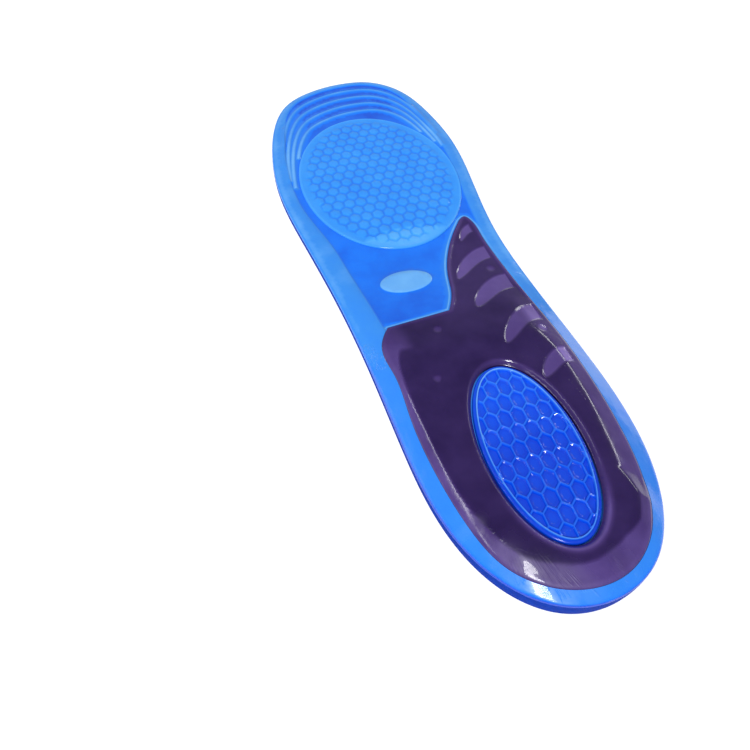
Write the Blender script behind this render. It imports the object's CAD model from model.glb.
"""The looks of the cushioned gel insole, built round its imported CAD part. Plan sizes here are millimetres."""

import math
import random

import bpy
import numpy as np
from mathutils import Matrix, Vector
from mathutils.geometry import delaunay_2d_cdt
from mathutils.kdtree import KDTree


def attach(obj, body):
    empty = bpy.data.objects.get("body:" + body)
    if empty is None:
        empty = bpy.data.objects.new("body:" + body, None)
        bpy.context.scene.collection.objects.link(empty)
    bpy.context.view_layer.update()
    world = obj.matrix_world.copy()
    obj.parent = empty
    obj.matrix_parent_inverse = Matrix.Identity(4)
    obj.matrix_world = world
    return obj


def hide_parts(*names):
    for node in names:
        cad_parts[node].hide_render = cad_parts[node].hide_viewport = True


MM = 0.001
MIDDLE = (0.1, 139.8)
COVER_THICK = 0.8
FILM_THICK = 0.2
LAMINATE = COVER_THICK + FILM_THICK
PLATEAU_TOP = 11.0

# The cut edge: (across, distance from the heel end), from the heel end round by the arch side.
OUTLINE = [
    (9.0, -0.7), (25.9, 5.6), (38.4, 22.1), (44.5, 46.0), (43.8, 78.0), (39.9, 115.0), (38.1, 150.0),
    (41.2, 185.0), (43.0, 215.0), (39.5, 243.2), (29.0, 269.6), (18.0, 278.2), (4.0, 280.4),
    (-13.4, 277.0), (-27.0, 268.8), (-37.3, 250.8), (-43.2, 225.0), (-44.8, 200.0), (-40.8, 164.0),
    (-35.6, 128.0), (-32.4, 95.0), (-30.4, 60.0), (-26.1, 30.1), (-15.3, 9.5), (-3.7, 1.2),
]

# The heel and arch dish on the cover side.
DISH_DEPTH = 5.0
DISH_LAND = 3.0
DISH_SLOPE_LENGTH = 14.0
DISH_STEEPNESS = 2.2
DISH_FADE_START = 85.0
DISH_FADE_LENGTH = 78.0

# The gel underside: the rim, the crown and the sloping flank between them.
RIM_HEIGHT = 3.3
RIM_HEEL_RISE = 3.7
RIM_HEEL_LENGTH = 60.0
CROWN_HEEL = 12.2
CROWN_TOE = 3.9
CROWN_FADE_START = 72.0
CROWN_FADE_LENGTH = 76.0
FLANK_OUTER_HEEL = 11.5
FLANK_ARCH_HEEL = 18.0
FLANK_TOE = 4.0
FLANK_FADE_START = 110.0
FLANK_FADE_LENGTH = 60.0
FLANK_SIDE_BLEND = 30.0
CREASE_SOFTNESS = 0.5
# The crease at the flank's top wanders: (angle round the heel pad, share of the flank's plain width).
FLANK_WAVES = [
    (-180.0, 0.98), (-150.0, 1.0), (-119.0, 1.15), (-105.0, 1.3), (-88.0, 1.12), (-70.0, 1.04),
    (-58.0, 0.8), (-45.0, 0.84), (-33.0, 1.26), (0.0, 1.3), (40.0, 1.2), (90.0, 1.0), (135.0, 0.98),
]

INSERT_RING = [
    (-22.4, 105.4), (-26.4, 99.0), (-26.3, 85.0), (-26.2, 68.0), (-24.8, 46.0), (-21.6, 29.0),
    (-14.8, 13.8), (-4.0, 5.6), (8.0, 3.2), (18.6, 5.6), (27.8, 13.0), (34.2, 26.0), (37.0, 44.0),
    (37.4, 64.0), (36.0, 88.0), (33.6, 110.0), (31.4, 135.0), (30.8, 148.0), (30.1, 156.5),
    (28.0, 160.2), (24.9, 158.4),
]
INSERT_TONGUE = [(24.9, 158.4), (19.6, 151.2), (14.0, 141.6), (8.4, 126.5), (5.9, 116.5), (1.6, 107.6)]

HEEL_PAD_CENTRE = (6.8, 46.8)
HEEL_PAD_RADII = (15.8, 31.6)
HEEL_CELL_PITCH = (4.5, 5.7)
FORE_PAD_CENTRE = (0.6, 196.3)
FORE_PAD_RADII = (35.6, 48.2)
FORE_CELL_PITCH = (5.0, 5.0)

# The visible relief on the gel: the smooth band at the edge, the recess inside it and the trim lines.
BAND_WIDTH = 6.0
BAND_WIDER = 3.2
BAND_WIDER_TO = 190.0
BAND_WIDER_OVER = 40.0
BAND_STEP = 0.9
BAND_NARROWER = 2.4
BAND_NARROWER_FROM = 230.0
RECESS_START = 98.0
RECESS_LEAD = 8.0
RECESS_DEPTH = 0.5
TRIM_LINE_SHIFTS = [3.0, 9.67, 16.33, 23.0]
TRIM_LINE_SPLAY = 1.2
TRIM_LINE_LOWEST = 185.0
TRIM_LINE_CLEAR = 0.4
TRIM_LINE_HALF = 1.15
GEL_EDGE_RADIUS = 0.7
WALL_BULGE = 0.12
WALL_ROWS = 6
SKIRT_WIDTH = 0.45
SKIRT_BOTTOM = 0.25
LAYER_INSET = 0.65
POCKET_SHARE = 0.45
POCKET_WALL = 0.25
POCKET_CLEAR = 0.03

# The relief on the support insert.
ARCH_GROOVES = [
    (20.2, 69.6, 34.4, 77.0, 8.4), (13.8, 86.5, 33.2, 99.0, 10.2), (11.2, 107.0, 31.2, 118.0, 10.6),
    (10.8, 124.4, 29.8, 136.6, 9.6), (20.6, 146.2, 28.6, 152.6, 6.6),
]
GROOVE_BLUNTNESS = 0.5
GROOVE_DEPTH = 0.35
GROOVE_EASE = 1.1
DIMPLES = [(-6.0, 99.0, 1.6), (-13.5, 78.0, 1.4), (26.0, 126.2, 1.8), (29.8, 89.6, 1.9)]
DIMPLE_DEPTH = 0.3
WINDOW_GAP = 0.5
WINDOW_SLOPE = 1.6
WINDOW_SLOPE_DEPTH = 1.6
WINDOW_SLOPE_CURVE = 1.5
INSERT_RADIUS = 0.35
LIP_AT = 0.9
LIP_HALF = 0.7
LIP_HEIGHT = 0.1
FRONT_LIP_HEIGHT = 0.3

# The relief on the two pads, and the blank plaque on the midfoot.
CELL_SIDE_STEPS = 4
CELL_REACH = 1.25
HEEL_PAD_TOP = 10.0
HEEL_PAD_RADIUS = 0.5
HEEL_BORDER_AT = 0.9
HEEL_BORDER_HEIGHT = 0.2
HEEL_OUTSIDE_DROP = 0.35
HEEL_FIELD_AT = 1.5
HEEL_FIELD_MARGIN = 1.9
HEEL_STEP = 0.3
HEEL_CELL_DEPTH = 0.75
HEEL_INNER_DEPTH = 0.15
FORE_PAD_TOP = 4.0
FORE_PAD_RADIUS = 0.45
FORE_CELL_HEIGHT = 0.4
FORE_FIELD_DROP = 0.1
FORE_FIELD_MARGIN = 3.0
CRESCENT_HEIGHT = 11.0
CRESCENT_SPAN = 30.0
PLAQUE_CENTRE = (-7.8, 129.0)
PLAQUE_RADII = (10.5, 6.5)
PLAQUE_STEP = 0.3
PLAQUE_SHARE = 0.5

# Fades along the insole, from the heel end: (start, length).
HEEL_FADE = (70.0, 60.0)
TOE_FADE = (225.0, 30.0)
INSERT_FRONT = (100.0, 12.0)
FLANK_END = (92.0, 20.0)
BEHIND_WINDOW = (20.0, 16.0)
HEEL_PAD_FRONT = (42.0, 28.0)

# How far up its colour ramp each feature moves a gel, from deep at 0 to pale at 1.
BODY_TONE = {
    "rim": 0.72, "recess": 0.5, "toe recess": 0.14, "heel": 0.2, "trim line": 0.72, "plaque": 0.75,
    "round insert": 0.8, "cut edge": 0.15, "heel cut edge": 0.4, "rim line": 0.12,
}
INSERT_TONE = {
    "plain": 0.08, "front": 0.08, "flank": 0.38, "groove": 0.42, "dimple": 0.3, "front lip": 0.3,
    "lip": 0.06, "window": 0.25, "behind window": 0.4,
}
HEEL_PAD_TONE = {"plain": 0.42, "cell": 0.34, "inner": 0.06, "border": 0.3, "outside": 0.36, "front": 0.16}
FORE_PAD_TONE = {"plain": 0.45, "cell": 0.24, "field": 0.24, "crescent": 0.28, "rim line": 0.15}

# Where the gel's skin is crinkled and catches the light: (x, y, x, y, half width, strength).
CRINKLES = [
    (-23.3, 87.3, -17.0, 70.2, 1.0, 1.0), (-17.0, 70.2, -12.0, 54.7, 1.3, 1.0),
    (-26.5, 88.7, -21.0, 84.0, 0.8, 0.8), (-20.0, 79.5, -16.0, 72.0, 0.9, 0.7),
    (-7.0, 71.5, -11.2, 60.0, 1.2, 0.8), (-11.2, 60.0, -12.2, 55.0, 1.0, 0.8),
    (12.5, 78.3, 18.3, 78.7, 1.6, 1.0), (21.6, 84.7, 24.1, 81.1, 1.4, 0.8),
    (18.8, 73.0, 24.8, 77.5, 1.7, 1.0), (26.8, 76.0, 28.8, 71.0, 1.6, 1.0),
    (27.9, 66.2, 29.5, 57.0, 0.9, 0.9), (-17.0, 26.8, -13.4, 20.0, 1.5, 1.0),
    (-13.4, 20.0, -4.5, 14.0, 1.2, 1.0), (-31.0, 101.5, -28.5, 91.0, 2.6, 1.2),
]
PAD_CRINKLES = [
    (-2.5, 68.0, 3.5, 70.5, 3.2, 1.0), (-5.0, 64.0, 0.5, 62.0, 2.2, 0.8),
    (1.5, 20.5, 8.0, 18.2, 2.2, 0.9), (10.0, 18.2, 16.0, 22.5, 2.0, 1.0),
]
# Where the heel's flow lines stand out of the skin, in the same way.
STREAK_PATCHES = [
    (-13.0, 18.5, -14.0, 11.5, 4.6, 1.1), (-7.0, 13.5, -3.5, 5.0, 5.4, 1.15), (-1.0, 8.0, 4.5, 2.0, 4.4, 1.1),
    (13.6, 10.2, 14.6, 2.6, 2.2, 1.0), (17.4, 7.6, 17.9, 3.2, 2.2, 1.0), (36.5, 22.0, 42.0, 20.0, 2.0, 0.9),
    (-24.0, 27.5, -17.5, 28.5, 2.0, 1.0),
]

# The flow lines fan out from a centre, and the flecks are fine noise. Both are raised.
STREAK_CENTRE = (-14.0, 36.0)
STREAK_COUNT = 46.0
STREAK_WANDER = 60.0
STREAK_DULLS = 0.3
FLECK_SCALE = 1000.0
RELIEF = 6.0

# The materials' colours, from deep to pale: (place on the ramp, display colour).
BLUE_STOPS = [(0.0, (10, 70, 202)), (0.25, (17, 117, 244)), (0.72, (53, 139, 232)), (1.0, (108, 178, 246))]
PURPLE_STOPS = [(0.0, (26, 2, 66)), (0.4, (64, 44, 108)), (0.65, (96, 76, 146)), (1.0, (150, 128, 205))]
DEEP_STOPS = [(0.0, (2, 56, 200)), (0.3, (6, 80, 226)), (0.65, (44, 120, 240)), (1.0, (120, 182, 250))]
LIGHT_STOPS = [(0.0, (26, 104, 230)), (0.4, (43, 142, 243)), (0.7, (72, 164, 250)), (1.0, (118, 186, 250))]
CUT_EDGE_STOPS = [(0.3, (2, 46, 150)), (0.7, (6, 60, 172))]
FABRIC_STOPS = [(0.3, (196, 183, 176)), (0.5, (219, 207, 202)), (0.7, (232, 221, 217))]
FILM_STOPS = [(0.3, (24, 38, 105)), (0.7, (40, 60, 140))]

# The gel's surface: noise scales a metre, and the height of its ripples in metres.
CLOUD_SCALE = 90.0
CLOUD_SHIFT = 0.06
SMEAR_SCALE = 260.0
SMEAR_SHARE = 0.25
WAVE_SCALE = 220.0
RIPPLE_HEIGHT = 0.0006
ROUGHNESS_SPREAD = 0.12

# The room, in metres and watts. A softbox is (name, place, aim, size, power).
WORLD_STRENGTH = 0.3
SUN_STRENGTH = 2.6
SUN_ANGLE = 14.0
SUN_DIRECTION = (0.25, 0.5, -0.83)
SOFTBOXES = [
    ("side", (-0.6, 0.0, 0.5), (0.0, -0.05, 0.0), (0.7, 0.06), 1.2),
    ("far", (0.7, 0.3, 0.4), (0.0, 0.0, 0.0), (0.5, 0.06), 0.9),
]
FLOOR_SIZE = 6.0
FLOOR_DROP = 0.0002
FLOOR_GLOW = 0.12

# The camera: its place in millimetres, and the directions it looks in and has to its right.
CAMERA_LENS = 28.8
CAMERA_PLACE = (-64.7, -166.6, 171.0)
CAMERA_FORWARD = (0.1607, 0.5654, -0.8090)
CAMERA_RIGHT = (0.9619, -0.2734, 0.0)

# How many corners each outline has.
EDGE_CORNERS = 720
DISC_CORNERS = 300
PLAQUE_CORNERS = 90
WINDOW_CORNERS = 160
HEEL_PAD_CORNERS = 180
FORE_PAD_CORNERS = 320

# Mesh lines at these distances along each outline, so that its relief is sharp.
GEL_EDGE_RINGS = [0.12, 0.3, 0.6, 1.1, 2.0]
BAND_RINGS = [0.0, 0.3, 0.6, 0.9]
TRIM_LINE_SIDES = [-1.1, -0.75, -0.25, 0.25, 0.75, 1.1]
ROUND_INSERT_RINGS = [-1.4, -0.7, 0.0, POCKET_WALL]
INSERT_RINGS = [0.12, 0.35, 0.8, 1.3, 1.8]
WINDOW_RINGS = [0.5, 0.7, 1.3, 1.9, 2.5]
GROOVE_RINGS = [0.35, 0.7, 1.1]
HEEL_PAD_RINGS = [0.12, 0.4, 0.9, 1.2, 1.5, 1.8]
HEEL_CELL_RINGS = [0.14, 0.45, 0.95, 1.25]
FORE_PAD_RINGS = [0.15, 0.4, 0.8, 1.2]
FORE_CELL_RINGS = [0.2, 0.75]
LAYER_RINGS = [0.3, 0.8]

# Mesh spacing in each piece, and the angle from which an edge is drawn sharp.
GEL_SPACING = 1.5
INSERT_SPACING = 0.62
HEEL_SPACING = 0.5
FORE_SPACING = 1.3
LAYER_SPACING = 3.0
SHARP_ANGLE = 50.0
GRID_CLEARANCE = 0.62
MERGE_GAP = 1e-5
HEX_ROW = math.sqrt(0.75)


# --- Curves and distances ---------------------------------------------------------------------


def shifted(points):
    """Points given from the centre line and the heel end, moved into the row's frame."""
    return np.array(points, float) - MIDDLE


def smooth_curve(points, count, closed):
    """A cubic curve through the points, with chord-length spacing, sampled evenly along its length."""
    p = shifted(points)
    if closed:
        p = np.vstack([p, p[:1]])
    chord = np.hypot(*np.diff(p, axis=0).T)
    knots = np.concatenate([[0.0], np.cumsum(chord)])
    n = len(p)
    system = np.zeros((n, n))
    target = np.zeros((n, 2))
    slope = np.diff(p, axis=0) / chord[:, None]
    for i in range(1, n - 1):
        system[i, i - 1 : i + 2] = chord[i], 2 * (chord[i - 1] + chord[i]), chord[i - 1]
        target[i] = 3 * (chord[i] * slope[i - 1] + chord[i - 1] * slope[i])
    if closed:
        system[0, 0], system[0, 1] = 2 * (chord[-1] + chord[0]), chord[-1]
        system[0, n - 2] = chord[0]
        target[0] = 3 * (chord[0] * slope[-1] + chord[-1] * slope[0])
        system[-1, 0], system[-1, -1] = 1.0, -1.0
    else:
        system[0, :2] = 2.0, 1.0
        target[0] = 3 * slope[0]
        system[-1, -2:] = 1.0, 2.0
        target[-1] = 3 * slope[-1]
    tangent = np.linalg.solve(system, target)
    fine = np.linspace(0.0, knots[-1], 40 * count)
    k = np.clip(np.searchsorted(knots, fine, side="right") - 1, 0, n - 2)
    h = chord[k][:, None]
    t = ((fine - knots[k]) / chord[k])[:, None]
    curve = (
        (1 + 2 * t) * (1 - t) ** 2 * p[k]
        + t * (1 - t) ** 2 * h * tangent[k]
        + t**2 * (3 - 2 * t) * p[k + 1]
        + t**2 * (t - 1) * h * tangent[k + 1]
    )
    run = np.concatenate([[0.0], np.cumsum(np.hypot(*np.diff(curve, axis=0).T))])
    wanted = np.linspace(0.0, run[-1], count + 1)[: count if closed else None]
    return np.stack([np.interp(wanted, run, curve[:, i]) for i in range(2)], axis=1)


def ellipse(centre, radii, count, grow=0.0):
    angle = np.linspace(0.0, 2 * math.pi, count, endpoint=False)
    around = np.stack([np.cos(angle) * (radii[0] + grow), np.sin(angle) * (radii[1] + grow)], axis=1)
    return shifted([centre]) + around


def distance_to(points, line, closed=True):
    """The distance from each point to a line."""
    start = line if closed else line[:-1]
    step = (np.roll(line, -1, axis=0) - line) if closed else np.diff(line, axis=0)
    square = (step**2).sum(1)
    found = np.empty(len(points))
    for i in range(0, len(points), 4000):
        rel = points[i : i + 4000, None] - start
        t = np.clip((rel * step).sum(2) / square, 0.0, 1.0)
        gap = rel - t[..., None] * step
        found[i : i + 4000] = np.sqrt((gap**2).sum(2).min(1))
    return found


def is_inside(points, loop):
    step = np.roll(loop, -1, axis=0) - loop
    after = np.roll(loop[:, 1], -1)
    count = np.zeros(len(points), int)
    for (x0, y0), (dx, dy), y1 in zip(loop, step, after):
        crossing = (y0 > points[:, 1]) != (y1 > points[:, 1])
        if dy:
            count += crossing & (points[:, 0] < x0 + dx * (points[:, 1] - y0) / dy)
    return count % 2 == 1


def depth_in(points, loop):
    """How far each point is inside a loop; negative outside."""
    return np.where(is_inside(points, loop), 1.0, -1.0) * distance_to(points, loop)


def inset_line(loop, distance):
    """A loop moved inwards; the loop runs anticlockwise."""
    along = np.roll(loop, -1, axis=0) - np.roll(loop, 1, axis=0)
    along /= np.hypot(*along.T)[:, None]
    return loop + np.stack([-along[:, 1], along[:, 0]], axis=1) * distance


def ease(t):
    """A smooth step from 0 to 1."""
    t = np.clip(t, 0.0, 1.0)
    return t * t * (3.0 - 2.0 * t)


def fade_in(value, start, length):
    """0 before a start, rising smoothly to 1 over a length."""
    return ease((value - start) / length)


def bell(distance, half_width):
    """1 at no distance, falling smoothly on both sides."""
    return np.exp(-((distance / half_width) ** 2))


def ridge(distance, half_width):
    """A rounded ridge over a line: 1 on the line and 0 beyond half its width."""
    return np.sqrt(np.clip(1.0 - (distance / half_width) ** 2, 0.0, 1.0))


def softened_lower(a, b, softness):
    """The lower of two heights, with the crease between them rounded."""
    blend = np.clip(0.5 + 0.5 * (b - a) / softness, 0.0, 1.0)
    return b + (a - b) * blend - softness * blend * (1.0 - blend)


EDGE = smooth_curve(OUTLINE, EDGE_CORNERS, closed=True)
INSERT_EDGE = np.vstack([smooth_curve(INSERT_RING, 420, False), smooth_curve(INSERT_TONGUE, 70, False)[1:]])


# --- The insole's surfaces --------------------------------------------------------------------


def dish(points, inset):
    along = points[:, 1] + MIDDLE[1]
    t = (inset - DISH_LAND) / DISH_SLOPE_LENGTH
    wall = 1.0 - np.exp(-DISH_STEEPNESS * np.maximum(t, 0.0))
    fade = np.clip((along - DISH_FADE_START) / DISH_FADE_LENGTH, 0.0, 1.0)
    return DISH_DEPTH * np.maximum(wall - fade, 0.0)


def underside(points, inset):
    along = points[:, 1] + MIDDLE[1]
    rim = RIM_HEIGHT + RIM_HEEL_RISE * np.clip(1.0 - along / RIM_HEEL_LENGTH, 0.0, 1.0) ** 2
    crown = CROWN_HEEL + (CROWN_TOE - CROWN_HEEL) * ease((along - CROWN_FADE_START) / CROWN_FADE_LENGTH)
    fade = ease((along - FLANK_FADE_START) / FLANK_FADE_LENGTH)
    side = ease(points[:, 0] / FLANK_SIDE_BLEND + 0.5)
    heel_width = FLANK_OUTER_HEEL + (FLANK_ARCH_HEEL - FLANK_OUTER_HEEL) * side
    turn = np.degrees(np.arctan2(*(points - shifted([HEEL_PAD_CENTRE])[0])[:, ::-1].T))
    heel_width = heel_width * np.interp(turn, *np.transpose(FLANK_WAVES), period=360.0)
    t = np.clip(inset / (heel_width + (FLANK_TOE - heel_width) * fade), 0.0, 1.0)
    height = rim + (crown - rim) * np.sin(math.pi / 2 * t)
    return softened_lower(height, np.full(len(points), PLATEAU_TOP), CREASE_SOFTNESS)


def bed(points, inset):
    """The surface inside the gel that the insert and the pads sit on."""
    lower = dish(points, inset) + LAMINATE
    return lower + POCKET_SHARE * (underside(points, inset) - lower)


# --- Meshes -----------------------------------------------------------------------------------


def hex_grid(low, high, spacing):
    """Staggered points over a rectangle."""
    rows = np.arange(low[1], high[1], spacing * HEX_ROW)
    found = []
    for i, y in enumerate(rows):
        x = np.arange(low[0] + spacing * 0.5 * (i % 2), high[0], spacing)
        found.append(np.stack([x, np.full(len(x), y)], axis=1))
    return np.vstack(found)


def triangulate(edge, lines, spacing):
    """Triangles over the region inside edge, with corners on every line. Lines are (points, closed)."""
    corners = [edge]
    joins = [np.stack([np.arange(len(edge)), np.roll(np.arange(len(edge)), -1)], axis=1)]
    total = len(edge)
    for line, closed in lines:
        index = np.arange(total, total + len(line))
        pairs = np.stack([index, np.roll(index, -1)], axis=1)
        joins.append(pairs if closed else pairs[:-1])
        corners.append(line)
        total += len(line)
    fixed = np.vstack(corners)
    tree = KDTree(len(fixed))
    for i, (x, y) in enumerate(fixed):
        tree.insert((x, y, 0.0), i)
    tree.balance()
    loose = hex_grid(edge.min(0), edge.max(0), spacing)
    loose = loose[is_inside(loose, edge)]
    clear = np.array([tree.find((x, y, 0.0))[2] for x, y in loose]) > GRID_CLEARANCE * spacing
    loose = loose[clear]
    every = np.vstack([fixed, loose])
    result = delaunay_2d_cdt([Vector(p) for p in every], np.vstack(joins).tolist(), [], 0, MERGE_GAP)
    points = np.array([tuple(p) for p in result[0]])
    faces = np.array([f for f in result[2] if len(f) == 3])
    faces = faces[is_inside(points[faces].mean(1), edge)]
    turn = np.cross(points[faces[:, 1]] - points[faces[:, 0]], points[faces[:, 2]] - points[faces[:, 0]])
    faces[turn < 0] = faces[turn < 0][:, ::-1]
    used, faces = np.unique(faces, return_inverse=True)
    return points[used], faces.reshape(-1, 3)


def border(faces):
    """The directed edges that only one triangle has."""
    pairs = np.vstack([faces[:, [0, 1]], faces[:, [1, 2]], faces[:, [2, 0]]])
    known = set(map(tuple, pairs))
    return np.array([p for p in known if (p[1], p[0]) not in known])


def slab_mesh(name, points, faces, top, bottom, tone, wall_bulge=0.0, wall_rows=1, wall_slot=0):
    """A closed mesh between two heights over the same triangles. tone is one number a point."""
    n = len(points)
    corners = [np.column_stack([points, top]), np.column_stack([points, bottom])]
    tones = [tone, tone]
    polygons = faces.tolist() + (faces[:, ::-1] + n).tolist()
    flat_count = len(polygons)
    rim = border(faces)
    after = dict(rim)
    before = {b: a for a, b in rim}
    ids = np.array(sorted(after))
    along = points[[after[i] for i in ids]] - points[[before[i] for i in ids]]
    along /= np.maximum(np.hypot(*along.T), 1e-9)[:, None]
    outward = np.stack([along[:, 1], -along[:, 0]], axis=1)
    rows = [dict(zip(ids, ids))]
    total = 2 * n
    for row in range(1, wall_rows):
        share = row / wall_rows
        flat = points[ids] + outward * wall_bulge * math.sin(math.pi * share)
        height = top[ids] + (bottom[ids] - top[ids]) * share
        corners.append(np.column_stack([flat, height]))
        tones.append(tone[ids])
        rows.append(dict(zip(ids, range(total, total + len(ids)))))
        total += len(ids)
    rows.append(dict(zip(ids, ids + n)))
    for upper, lower in zip(rows, rows[1:]):
        for a, b in rim:
            polygons.append([int(upper[b]), int(upper[a]), int(lower[a]), int(lower[b])])
    mesh = bpy.data.meshes.new(name)
    mesh.from_pydata((np.vstack(corners) * MM).tolist(), [], polygons)
    mesh.attributes.new("tone", "FLOAT", "POINT").data.foreach_set("value", np.concatenate(tones))
    mesh.polygons.foreach_set("use_smooth", [True] * len(mesh.polygons))
    walls = np.arange(len(mesh.polygons)) >= flat_count
    mesh.polygons.foreach_set("material_index", (walls * wall_slot).astype(np.int32))
    mesh.set_sharp_from_angle(angle=math.radians(SHARP_ANGLE))
    obj = bpy.data.objects.new(name, mesh)
    bpy.context.scene.collection.objects.link(obj)
    return obj


def mark(obj, points, name, patches):
    """Stores a patch mask on a slab mesh, on its top and bottom alike."""
    mask = patch_mask(points, patches)
    spare = np.zeros(len(obj.data.vertices) - 2 * len(points))
    values = np.concatenate([mask, mask, spare])
    obj.data.attributes.new(name, "FLOAT", "POINT").data.foreach_set("value", values)


def show_for(obj, node, material):
    """Puts a piece in the place of its CAD node."""
    obj.data.materials.append(material)
    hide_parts(node)
    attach(obj, "root")
    return obj


def rings(loop, insets):
    return [(inset_line(loop, inset), True) for inset in insets]


def edge_round(inset, radius):
    """How much a rounded edge drops below the surface."""
    short = np.clip(radius - inset, 0.0, radius)
    return radius - np.sqrt(radius**2 - short**2)


def patch_mask(points, patches):
    """1 inside any of the rounded patches, fading to 0 outside them."""
    mask = np.zeros(len(points))
    for x0, y0, x1, y1, half_width, strength in patches:
        gap = distance_to(points, shifted([(x0, y0), (x1, y1)]), closed=False)
        mask = np.maximum(mask, strength * bell(gap, half_width))
    return mask


# --- The pieces -------------------------------------------------------------------------------


def band_width(points):
    """The width of the smooth band that runs round the forefoot and midfoot."""
    along = points[:, 1] + MIDDLE[1]
    outer_side = 1.0 - ease(points[:, 0] / FLANK_SIDE_BLEND + 0.5)
    wider = BAND_WIDER * outer_side * ease((BAND_WIDER_TO - along) / BAND_WIDER_OVER)
    return BAND_WIDTH + wider - BAND_NARROWER * ease((along - BAND_NARROWER_FROM) / BAND_WIDER_OVER)


def trim_lines(disc):
    """The toe's edge, moved back one shoe size at a time, and a little further in from the sides each time.

    A line ends where it comes too near the band or the forefoot pad.
    """
    found = []
    for size, shift in enumerate(TRIM_LINE_SHIFTS):
        inset = BAND_WIDTH + TRIM_LINE_SPLAY * (size - 1)
        line = inset_line(EDGE, inset)
        line = line[line[:, 1] > TRIM_LINE_LOWEST - MIDDLE[1]] - (0.0, BAND_WIDTH + shift - inset)
        line = line[depth_in(line, EDGE) > TRIM_LINE_CLEAR + inset]
        line = line[depth_in(line, disc) < -TRIM_LINE_HALF]
        found.append(line)
    return found


def beside(line, distance):
    """A line moved sideways."""
    along = np.gradient(line, axis=0)
    along /= np.hypot(*along.T)[:, None]
    return line + np.stack([-along[:, 1], along[:, 0]], axis=1) * distance


def band_lines():
    """Mesh lines down the step at the band's inner edge, wherever the recess lies beside it."""
    inward = inset_line(EDGE, 1.0) - EDGE
    width = band_width(EDGE)[:, None]
    ahead = EDGE[:, 1] > RECESS_START - MIDDLE[1]
    first = int(np.argmax(ahead & ~np.roll(ahead, 1)))
    front = np.roll(np.arange(len(EDGE)), -first)[: ahead.sum()]
    return [((EDGE + inward * (width + extra))[front], False) for extra in BAND_RINGS]


def body_tone(along, inset, in_insert, recess, crests, on_plaque):
    """How pale the gel body is at each point."""
    heel = 1.0 - fade_in(along, *HEEL_FADE)
    toe = fade_in(along, *TOE_FADE)
    in_recess = (BODY_TONE["recess"] + BODY_TONE["toe recess"] * toe) * recess
    tone = BODY_TONE["rim"] - in_recess - BODY_TONE["heel"] * heel
    tone += BODY_TONE["trim line"] * crests * recess + BODY_TONE["plaque"] * on_plaque
    tone += BODY_TONE["round insert"] * recess * bell(in_insert + 0.7, 0.6)
    tone -= (BODY_TONE["cut edge"] + BODY_TONE["heel cut edge"] * heel) * bell(inset, 0.5)
    tone += BODY_TONE["rim line"] * bell(inset - 1.6, 0.8) * (1.0 - heel)
    return np.clip(tone, 0.0, 1.0)


def make_gel_body(material, edge_material):
    disc = ellipse(FORE_PAD_CENTRE, FORE_PAD_RADII, DISC_CORNERS)
    plaque = ellipse(PLAQUE_CENTRE, PLAQUE_RADII, PLAQUE_CORNERS)
    trims = trim_lines(disc)
    lines = rings(EDGE, GEL_EDGE_RINGS) + band_lines()
    for trim in trims:
        lines += [(beside(trim, side), False) for side in TRIM_LINE_SIDES]
    lines += rings(disc, [0.0, POCKET_WALL]) + rings(INSERT_EDGE, ROUND_INSERT_RINGS)
    lines += rings(plaque, [0.0, PLAQUE_STEP])
    points, faces = triangulate(EDGE, lines, GEL_SPACING)

    inset = np.maximum(depth_in(points, EDGE), 0.0)
    along = points[:, 1] + MIDDLE[1]
    past_band = (inset - band_width(points)) / BAND_STEP
    recess = ease(past_band) * fade_in(along, RECESS_START, RECESS_LEAD)
    crests = np.zeros(len(points))
    for trim in trims:
        crests = np.maximum(crests, ridge(distance_to(points, trim, closed=False), TRIM_LINE_HALF))
    in_disc = depth_in(points, disc)
    in_insert = depth_in(points, INSERT_EDGE)
    on_plaque = ease(depth_in(points, plaque) / PLAQUE_STEP)
    relief = RECESS_DEPTH * (crests - recess + PLAQUE_SHARE * on_plaque)
    level = underside(points, inset) + relief - edge_round(inset, GEL_EDGE_RADIUS)
    covered = ease(np.maximum(in_disc, in_insert) / POCKET_WALL)
    level += (bed(points, inset) - POCKET_CLEAR - level) * covered
    bottom = np.where(inset < SKIRT_WIDTH, SKIRT_BOTTOM, dish(points, inset) + LAMINATE)

    tone = body_tone(along, inset, in_insert, recess, crests, on_plaque)
    obj = slab_mesh("gel_body_look", points, faces, level, bottom, tone, WALL_BULGE, WALL_ROWS, wall_slot=1)
    mark(obj, points, "crinkle", CRINKLES)
    mark(obj, points, "streak", STREAK_PATCHES)
    show_for(obj, "gel_body", material)
    obj.data.materials.append(edge_material)
    return obj


def insert_tone(points, along, inset, into, from_window, cut, dimples):
    """How pale the insert is at each point."""
    front = fade_in(along, *INSERT_FRONT)
    lip = bell(into - LIP_AT, LIP_HALF)
    steep = 1.0 - fade_in(underside(points, inset), PLATEAU_TOP - CREASE_SOFTNESS, 0.3)
    flank = steep * (1.0 - fade_in(along, *FLANK_END)) * (1.0 - fade_in(inset, 12.0, 5.0))
    tone = INSERT_TONE["plain"] + INSERT_TONE["front"] * front + INSERT_TONE["flank"] * flank
    tone += INSERT_TONE["groove"] * cut + INSERT_TONE["dimple"] * dimples
    tone += INSERT_TONE["front lip"] * lip * front + INSERT_TONE["lip"] * lip * (1.0 - front)
    behind = 1.0 - fade_in(along, *BEHIND_WINDOW)
    tone += INSERT_TONE["window"] * bell(from_window - 0.9, 0.6)
    tone += INSERT_TONE["behind window"] * behind * bell(from_window - 1.6, 0.9)
    return np.clip(tone, 0.0, 1.0)


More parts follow.
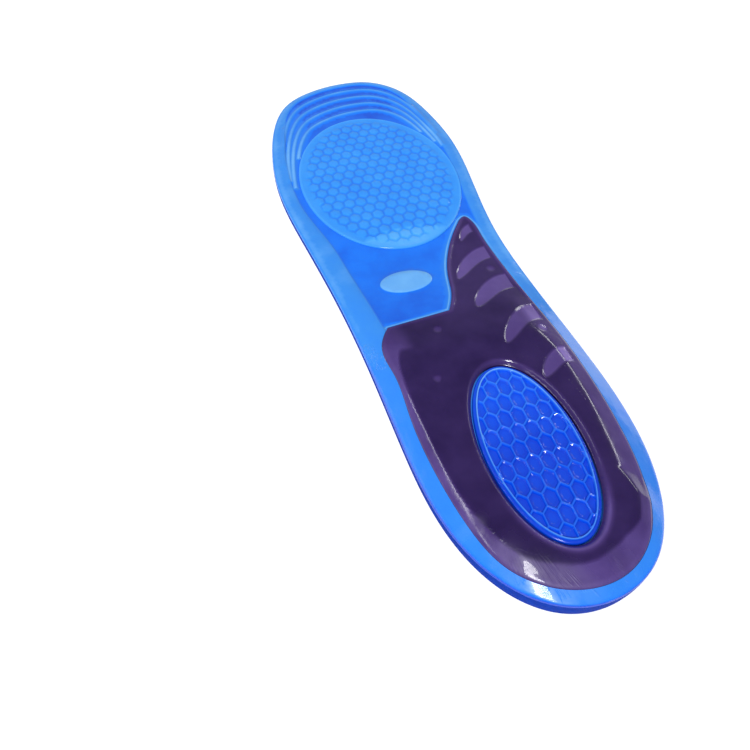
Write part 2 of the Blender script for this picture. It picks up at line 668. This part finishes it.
def make_insert(material):
    window = ellipse(HEEL_PAD_CENTRE, HEEL_PAD_RADII, WINDOW_CORNERS, grow=WINDOW_GAP)
    lines = rings(INSERT_EDGE, INSERT_RINGS)
    for grow in WINDOW_RINGS:
        lines.append((ellipse(HEEL_PAD_CENTRE, HEEL_PAD_RADII, WINDOW_CORNERS, grow), True))
    groove_edges = [groove_outline(*groove) for groove in ARCH_GROOVES]
    for groove in groove_edges:
        lines += [(groove, True)] + rings(groove, GROOVE_RINGS)
    points, faces = triangulate(INSERT_EDGE, lines, INSERT_SPACING)
    hole = is_inside(points[faces].mean(1), window)
    used, faces = np.unique(faces[~hole], return_inverse=True)
    points, faces = points[used], faces.reshape(-1, 3)

    inset = np.maximum(depth_in(points, EDGE), 0.0)
    into = np.maximum(depth_in(points, INSERT_EDGE), 0.0)
    along = points[:, 1] + MIDDLE[1]
    lip = bell(into - LIP_AT, LIP_HALF)
    lip_height = LIP_HEIGHT + FRONT_LIP_HEIGHT * fade_in(along, *INSERT_FRONT)
    level = underside(points, inset) + lip_height * lip - edge_round(into, INSERT_RADIUS)
    from_window = -depth_in(points, window)
    level -= WINDOW_SLOPE_DEPTH * (1.0 - ease(from_window / WINDOW_SLOPE)) ** WINDOW_SLOPE_CURVE
    cut = np.zeros(len(points))
    for groove in groove_edges:
        cut = np.maximum(cut, ease(depth_in(points, groove) / GROOVE_EASE))
    dimples = np.zeros(len(points))
    for x, y, radius in DIMPLES:
        centre = shifted([(x, y)])[0]
        dimples = np.maximum(dimples, ridge(np.hypot(*(points - centre).T), radius))
    level -= GROOVE_DEPTH * cut + DIMPLE_DEPTH * dimples

    tone = insert_tone(points, along, inset, into, from_window, cut, dimples)
    obj = slab_mesh("support_insert_look", points, faces, level, bed(points, inset), tone)
    mark(obj, points, "crinkle", CRINKLES)
    mark(obj, points, "streak", STREAK_PATCHES)
    return show_for(obj, "support_insert", material)


def groove_outline(inner_x, inner_y, outer_x, outer_y, width):
    """A crescent that starts as a point and sweeps forwards and outwards."""
    u = np.linspace(0.0, 1.0, 26)
    x = inner_x + (outer_x - inner_x) * u
    y = inner_y + (outer_y - inner_y) * np.sin(math.pi / 2 * u)
    half = width / 2 * np.sqrt(1.0 - (1.0 - np.minimum(1.0, u / GROOVE_BLUNTNESS)) ** 2) * (1.0 - 0.1 * u)
    lower = np.stack([x, y - half], axis=1)
    upper = np.stack([x, y + half], axis=1)[:0:-1]
    return shifted(np.vstack([lower, upper]))


def cell_gap(points, centre, pitch):
    """How far each point is from the wall of its stretched honeycomb cell."""
    squeeze = pitch[0] * HEX_ROW / pitch[1]
    x, y = (points - shifted([centre])[0]).T
    row_height = pitch[0] * HEX_ROW
    best = np.zeros(len(points))
    row = np.round(y / pitch[1])
    for other in (-1, 0, 1):
        this_row = row + other
        start = 0.5 * (this_row % 2) * pitch[0]
        dx = x - start - np.round((x - start) / pitch[0]) * pitch[0]
        dy = y * squeeze - this_row * row_height
        norm = np.maximum(np.abs(dx), np.abs(dx) / 2 + np.abs(dy) * HEX_ROW)
        best = np.maximum(best, pitch[0] / 2 - norm)
    return best


def cell_loops(centre, radii, pitch, gaps):
    """Hexagons at set distances inside the cell walls, cut off where an ellipse ends."""
    middle = shifted([centre])[0]
    squeeze = pitch[0] * HEX_ROW / pitch[1]
    turns = np.radians(np.arange(30, 390, 60))
    found = []
    for row in range(-int(radii[1] / pitch[1]) - 1, int(radii[1] / pitch[1]) + 2):
        for column in range(-int(radii[0] / pitch[0]) - 1, int(radii[0] / pitch[0]) + 2):
            at = np.array([(column + 0.5 * (row % 2)) * pitch[0], row * pitch[1]])
            if ((at / radii) ** 2).sum() > CELL_REACH:
                continue
            for gap in gaps:
                size = (pitch[0] / 2 - gap) / math.cos(math.radians(30))
                corner = at + np.stack([np.cos(turns) * size, np.sin(turns) * size / squeeze], axis=1)
                share = np.linspace(0.0, 1.0, CELL_SIDE_STEPS, endpoint=False)[:, None]
                sides = [a + (b - a) * share for a, b in zip(corner, np.roll(corner, -1, axis=0))]
                loop = np.vstack(sides)
                held = ((loop / radii) ** 2).sum(1) < 1.0
                if held.all():
                    found.append((middle + corner, True))
                elif held.any():
                    loop = np.roll(loop, -int(np.argmin(held)), axis=0)
                    held = np.roll(held, -int(np.argmin(held)))
                    runs = np.split(loop, np.flatnonzero(np.diff(held)) + 1)
                    kept = runs[1::2]
                    found += [(middle + run, False) for run in kept if len(run) > 1]
    return found


def make_heel_pad(material):
    edge = ellipse(HEEL_PAD_CENTRE, HEEL_PAD_RADII, HEEL_PAD_CORNERS)
    field_radii = np.array(HEEL_PAD_RADII) - HEEL_FIELD_MARGIN
    lines = rings(edge, HEEL_PAD_RINGS)
    lines += cell_loops(HEEL_PAD_CENTRE, field_radii, HEEL_CELL_PITCH, HEEL_CELL_RINGS)
    points, faces = triangulate(edge, lines, HEEL_SPACING)
    into = np.maximum(depth_in(points, edge), 0.0)
    gap = cell_gap(points, HEEL_PAD_CENTRE, HEEL_CELL_PITCH)
    field = fade_in(into, HEEL_FIELD_AT, HEEL_STEP)
    within_border = fade_in(into, HEEL_BORDER_AT, HEEL_STEP)
    border_line = within_border * (1.0 - field)
    outside = 1.0 - within_border
    wall_top, wall_foot, inner_at, _ = HEEL_CELL_RINGS
    cell = fade_in(gap, wall_top, wall_foot - wall_top) * field
    inner = fade_in(gap, inner_at, HEEL_STEP) * field
    level = HEEL_PAD_TOP - HEEL_CELL_DEPTH * cell - HEEL_INNER_DEPTH * inner
    level += HEEL_BORDER_HEIGHT * border_line - HEEL_OUTSIDE_DROP * outside
    level -= edge_round(into, HEEL_PAD_RADIUS)
    tone = HEEL_PAD_TONE["plain"] - HEEL_PAD_TONE["cell"] * cell + HEEL_PAD_TONE["inner"] * inner
    tone += HEEL_PAD_TONE["border"] * border_line - HEEL_PAD_TONE["outside"] * outside
    tone += HEEL_PAD_TONE["front"] * fade_in(points[:, 1] + MIDDLE[1], *HEEL_PAD_FRONT)
    bottom = bed(points, depth_in(points, EDGE))
    obj = slab_mesh("heel_pad_look", points, faces, level, bottom, np.clip(tone, 0.0, 1.0))
    mark(obj, points, "crinkle", PAD_CRINKLES)
    return show_for(obj, "heel_pad", material)


def make_forefoot_pad(material):
    edge = ellipse(FORE_PAD_CENTRE, FORE_PAD_RADII, FORE_PAD_CORNERS)
    field_radii = np.array(FORE_PAD_RADII) - FORE_FIELD_MARGIN
    lines = rings(edge, FORE_PAD_RINGS)
    lines += cell_loops(FORE_PAD_CENTRE, field_radii, FORE_CELL_PITCH, FORE_CELL_RINGS)
    points, faces = triangulate(edge, lines, FORE_SPACING)
    into = np.maximum(depth_in(points, edge), 0.0)
    gap = cell_gap(points, FORE_PAD_CENTRE, FORE_CELL_PITCH)
    field = fade_in(into, FORE_FIELD_MARGIN, 2.0)
    wall_foot, wall_top = FORE_CELL_RINGS
    cell = fade_in(gap, wall_foot, wall_top - wall_foot) * field
    level = FORE_PAD_TOP + FORE_CELL_HEIGHT * cell - edge_round(into, FORE_PAD_RADIUS)
    level -= FORE_FIELD_DROP * fade_in(into, 0.8, 0.8)
    across, ahead = (points - shifted([FORE_PAD_CENTRE])[0]).T
    shelf = ahead + FORE_PAD_RADII[1] - CRESCENT_HEIGHT * (1.0 - (across / CRESCENT_SPAN) ** 2)
    crescent = (1.0 - ease(shelf / 1.2)) * fade_in(into, 0.5, 1.0)
    tone = FORE_PAD_TONE["plain"] + FORE_PAD_TONE["cell"] * cell - FORE_PAD_TONE["field"] * field
    tone += FORE_PAD_TONE["crescent"] * crescent + FORE_PAD_TONE["rim line"] * bell(into - 0.6, 0.5)
    bottom = bed(points, depth_in(points, EDGE))
    obj = slab_mesh("forefoot_pad_look", points, faces, level, bottom, np.clip(tone, 0.0, 1.0))
    return show_for(obj, "forefoot_pad", material)


def make_layer(node, material, low, thick, edge_inset, roughen):
    """One of the thin layers under the gel, following the dish."""
    edge = inset_line(EDGE, edge_inset)
    points, faces = triangulate(edge, rings(edge, LAYER_RINGS), LAYER_SPACING)
    inset = np.maximum(depth_in(points, EDGE), 0.0)
    bottom = dish(points, inset) + low
    tone = np.array([random.random() for _ in points])
    obj = slab_mesh(node + "_look", points, faces, bottom + thick, bottom + roughen * tone, tone)
    show_for(obj, node, material)
    return obj


# --- Materials --------------------------------------------------------------------------------


def new_material(name):
    material = bpy.data.materials.new(name)
    material.use_nodes = True
    nodes = material.node_tree.nodes
    return material, nodes, material.node_tree.links, nodes["Principled BSDF"]


def noise(nodes, links, where, scale, detail):
    node = nodes.new("ShaderNodeTexNoise")
    node.inputs["Scale"].default_value = scale
    node.inputs["Detail"].default_value = detail
    links.new(where, node.inputs["Vector"])
    return node.outputs["Fac"]


def spread(nodes, links, value, low, high, to_low, to_high):
    node = nodes.new("ShaderNodeMapRange")
    for socket, number in zip(("From Min", "From Max", "To Min", "To Max"), (low, high, to_low, to_high)):
        node.inputs[socket].default_value = number
    links.new(value, node.inputs["Value"])
    return node.outputs["Result"]


def maths(nodes, links, operation, a, b):
    node = nodes.new("ShaderNodeMath")
    node.operation = operation
    for socket, value in zip(node.inputs, (a, b)):
        if isinstance(value, (int, float)):
            socket.default_value = value
        else:
            links.new(value, socket)
    return node.outputs["Value"]


def linear(colour):
    """A display colour from 0 to 255 as a shader colour."""
    parts = [c / 255 for c in colour]
    return [c / 12.92 if c <= 0.04045 else ((c + 0.055) / 1.055) ** 2.4 for c in parts] + [1.0]


def ramp(nodes, links, value, stops):
    node = nodes.new("ShaderNodeValToRGB")
    bar = node.color_ramp.elements
    for place, colour in stops[1:-1]:
        bar.new(place)
    for element, (place, colour) in zip(bar, stops):
        element.position = place
        element.color = linear(colour)
    links.new(value, node.inputs["Fac"])
    return node.outputs["Color"]


def bump(nodes, links, height, strength, distance):
    node = nodes.new("ShaderNodeBump")
    node.inputs["Strength"].default_value = strength
    node.inputs["Distance"].default_value = distance
    links.new(height, node.inputs["Height"])
    return node.outputs["Normal"]


def attribute(nodes, name):
    node = nodes.new("ShaderNodeAttribute")
    node.attribute_name = name
    return node.outputs["Fac"]


def flow_streaks(nodes, links, where):
    """Thin raised flow lines that fan out round the heel, where the mesh's streak mask is."""
    parts = nodes.new("ShaderNodeSeparateXYZ")
    links.new(where, parts.inputs["Vector"])
    centre = shifted([STREAK_CENTRE])[0] * MM
    across = maths(nodes, links, "SUBTRACT", parts.outputs["X"], float(centre[0]))
    along = maths(nodes, links, "SUBTRACT", parts.outputs["Y"], float(centre[1]))
    turn = maths(nodes, links, "ARCTAN2", along, across)
    across_square = maths(nodes, links, "MULTIPLY", across, across)
    along_square = maths(nodes, links, "MULTIPLY", along, along)
    square = maths(nodes, links, "ADD", across_square, along_square)
    radius = maths(nodes, links, "SQRT", square, 0.0)
    fan = nodes.new("ShaderNodeCombineXYZ")
    links.new(maths(nodes, links, "MULTIPLY", turn, STREAK_COUNT), fan.inputs["X"])
    links.new(maths(nodes, links, "MULTIPLY", radius, STREAK_WANDER), fan.inputs["Y"])
    lines = noise(nodes, links, fan.outputs["Vector"], 1.0, 2.0)
    masked = maths(nodes, links, "MULTIPLY", lines, attribute(nodes, "streak"))
    return spread(nodes, links, masked, 0.54, 0.62, 0.0, 1.0)


def crinkles(nodes, links, where):
    """Small raised flecks where the mesh's crinkle mask is, which catch the light."""
    flecks = noise(nodes, links, where, FLECK_SCALE, 1.0)
    masked = maths(nodes, links, "MULTIPLY", flecks, attribute(nodes, "crinkle"))
    return spread(nodes, links, masked, 0.45, 0.52, 0.0, 1.0)


def gel(name, stops, roughness, ripple, flecked=False, streaked=False):
    """A glossy, slightly cloudy gel. The mesh's tone picks the colour, from deep to pale."""
    material, nodes, links, shader = new_material(name)
    where = nodes.new("ShaderNodeTexCoord").outputs["Object"]
    cloud = noise(nodes, links, where, CLOUD_SCALE, 3.0)
    shift = spread(nodes, links, cloud, 0.3, 0.7, -CLOUD_SHIFT, CLOUD_SHIFT)
    tone = maths(nodes, links, "ADD", attribute(nodes, "tone"), shift)
    links.new(ramp(nodes, links, tone, stops), shader.inputs["Base Color"])
    smear = noise(nodes, links, where, SMEAR_SCALE, 4.0)
    fine = maths(nodes, links, "MULTIPLY", smear, SMEAR_SHARE)
    waves = maths(nodes, links, "ADD", noise(nodes, links, where, WAVE_SCALE, 2.0), fine)
    for wanted, pattern in ((flecked, crinkles), (streaked, flow_streaks)):
        if wanted:
            raised = maths(nodes, links, "MULTIPLY", pattern(nodes, links, where), RELIEF)
            waves = maths(nodes, links, "ADD", waves, raised)
    dull = spread(nodes, links, smear, 0.35, 0.7, roughness, roughness + ROUGHNESS_SPREAD)
    if streaked:
        extra = maths(nodes, links, "MULTIPLY", attribute(nodes, "streak"), STREAK_DULLS)
        dull = maths(nodes, links, "ADD", dull, extra)
    links.new(dull, shader.inputs["Roughness"])
    links.new(bump(nodes, links, waves, ripple, RIPPLE_HEIGHT), shader.inputs["Normal"])
    shader.inputs["IOR"].default_value = 1.45
    shader.inputs["Subsurface Weight"].default_value = 0.08
    shader.inputs["Subsurface Radius"].default_value = (0.002, 0.003, 0.006)
    shader.inputs["Subsurface Scale"].default_value = 1.0
    shader.inputs["Coat Weight"].default_value = 0.2
    shader.inputs["Coat Roughness"].default_value = 0.06
    return material


def cut_edge():
    """The gel's die-cut side: deeper in colour and matt."""
    material, nodes, links, shader = new_material("cut_edge")
    where = nodes.new("ShaderNodeTexCoord").outputs["Object"]
    drag = noise(nodes, links, where, 500.0, 3.0)
    links.new(ramp(nodes, links, drag, CUT_EDGE_STOPS), shader.inputs["Base Color"])
    links.new(spread(nodes, links, drag, 0.3, 0.7, 0.6, 0.75), shader.inputs["Roughness"])
    links.new(bump(nodes, links, drag, 0.2, 0.0004), shader.inputs["Normal"])
    shader.inputs["Specular IOR Level"].default_value = 0.05
    return material


def napped_fabric():
    """The cover's short brushed nap, in warm pale grey."""
    material, nodes, links, shader = new_material("napped_fabric")
    where = nodes.new("ShaderNodeTexCoord").outputs["Object"]
    brushed = noise(nodes, links, where, 55.0, 5.0)
    fibres = noise(nodes, links, where, 1500.0, 4.0)
    patches = maths(nodes, links, "MULTIPLY", brushed, 0.7)
    strands = maths(nodes, links, "MULTIPLY", fibres, 0.3)
    both = maths(nodes, links, "ADD", patches, strands)
    links.new(ramp(nodes, links, both, FABRIC_STOPS), shader.inputs["Base Color"])
    links.new(spread(nodes, links, fibres, 0.3, 0.7, 0.85, 1.0), shader.inputs["Roughness"])
    links.new(bump(nodes, links, fibres, 0.6, 0.0005), shader.inputs["Normal"])
    shader.inputs["Sheen Weight"].default_value = 0.3
    shader.inputs["Sheen Roughness"].default_value = 0.5
    return material


def film():
    """The dark blue adhesive film between the cover and the gel."""
    material, nodes, links, shader = new_material("bonding_film")
    where = nodes.new("ShaderNodeTexCoord").outputs["Object"]
    streaks = noise(nodes, links, where, 400.0, 3.0)
    links.new(ramp(nodes, links, streaks, FILM_STOPS), shader.inputs["Base Color"])
    links.new(spread(nodes, links, streaks, 0.3, 0.7, 0.4, 0.6), shader.inputs["Roughness"])
    return material


# --- The scene --------------------------------------------------------------------------------


def make_floor():
    bpy.ops.mesh.primitive_plane_add(size=FLOOR_SIZE, location=(0.0, 0.0, -FLOOR_DROP))
    floor = bpy.context.object
    floor.name = "floor"
    material, nodes, links, shader = new_material("white_floor")
    where = nodes.new("ShaderNodeTexCoord").outputs["Object"]
    paper = noise(nodes, links, where, 300.0, 2.0)
    links.new(spread(nodes, links, paper, 0.3, 0.7, 0.7, 0.8), shader.inputs["Roughness"])
    shader.inputs["Base Color"].default_value = (1.0, 1.0, 1.0, 1.0)
    shader.inputs["Emission Color"].default_value = (1.0, 1.0, 1.0, 1.0)
    shader.inputs["Emission Strength"].default_value = FLOOR_GLOW
    floor.data.materials.append(material)


def add_softbox(name, place, aim, size, power):
    light = bpy.data.lights.new(name, "AREA")
    light.shape = "RECTANGLE"
    light.size, light.size_y = size
    light.energy = power
    obj = bpy.data.objects.new(name, light)
    bpy.context.scene.collection.objects.link(obj)
    obj.location = place
    obj.rotation_mode = "QUATERNION"
    obj.rotation_quaternion = (Vector(aim) - Vector(place)).to_track_quat("-Z", "Y")


def light_room():
    world = bpy.context.scene.world or bpy.data.worlds.new("room")
    bpy.context.scene.world = world
    world.use_nodes = True
    background = world.node_tree.nodes["Background"]
    background.inputs["Color"].default_value = (1.0, 1.0, 1.0, 1.0)
    background.inputs["Strength"].default_value = WORLD_STRENGTH
    sun = bpy.data.objects.new("sun", bpy.data.lights.new("sun", "SUN"))
    bpy.context.scene.collection.objects.link(sun)
    sun.data.energy = SUN_STRENGTH
    sun.data.angle = math.radians(SUN_ANGLE)
    sun.rotation_mode = "QUATERNION"
    sun.rotation_quaternion = Vector(SUN_DIRECTION).to_track_quat("-Z", "Y")
    for softbox in SOFTBOXES:
        add_softbox(*softbox)


def place_camera():
    camera = bpy.data.objects.new("camera", bpy.data.cameras.new("camera"))
    bpy.context.scene.collection.objects.link(camera)
    bpy.context.scene.camera = camera
    camera.data.sensor_width = 36.0
    camera.data.lens = CAMERA_LENS
    forward = Vector(CAMERA_FORWARD).normalized()
    right = Vector(CAMERA_RIGHT).normalized()
    turn = Matrix((right, right.cross(forward), -forward)).transposed()
    camera.matrix_world = Matrix.Translation(Vector(CAMERA_PLACE) * MM) @ turn.to_4x4()
    camera.data.clip_start = 0.01


random.seed(7)
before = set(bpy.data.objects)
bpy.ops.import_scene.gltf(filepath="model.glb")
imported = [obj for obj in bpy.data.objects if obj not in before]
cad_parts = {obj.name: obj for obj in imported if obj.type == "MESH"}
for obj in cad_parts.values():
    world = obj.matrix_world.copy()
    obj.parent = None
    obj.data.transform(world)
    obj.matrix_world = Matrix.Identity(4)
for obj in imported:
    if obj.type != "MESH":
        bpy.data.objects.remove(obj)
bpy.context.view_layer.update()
bpy.context.scene.view_settings.view_transform = "Standard"

make_gel_body(gel("blue_gel", BLUE_STOPS, 0.1, 0.25, flecked=True, streaked=True), cut_edge())
make_insert(gel("purple_gel", PURPLE_STOPS, 0.12, 0.15, flecked=True, streaked=True))
make_heel_pad(gel("deep_blue_gel", DEEP_STOPS, 0.1, 0.2, flecked=True))
make_forefoot_pad(gel("light_blue_gel", LIGHT_STOPS, 0.14, 0.3))
make_layer("top_cover", napped_fabric(), 0.0, COVER_THICK, LAYER_INSET, 0.05)
make_layer("bonding_film", film(), COVER_THICK, FILM_THICK, LAYER_INSET, 0.0)

make_floor()
light_room()
place_camera()
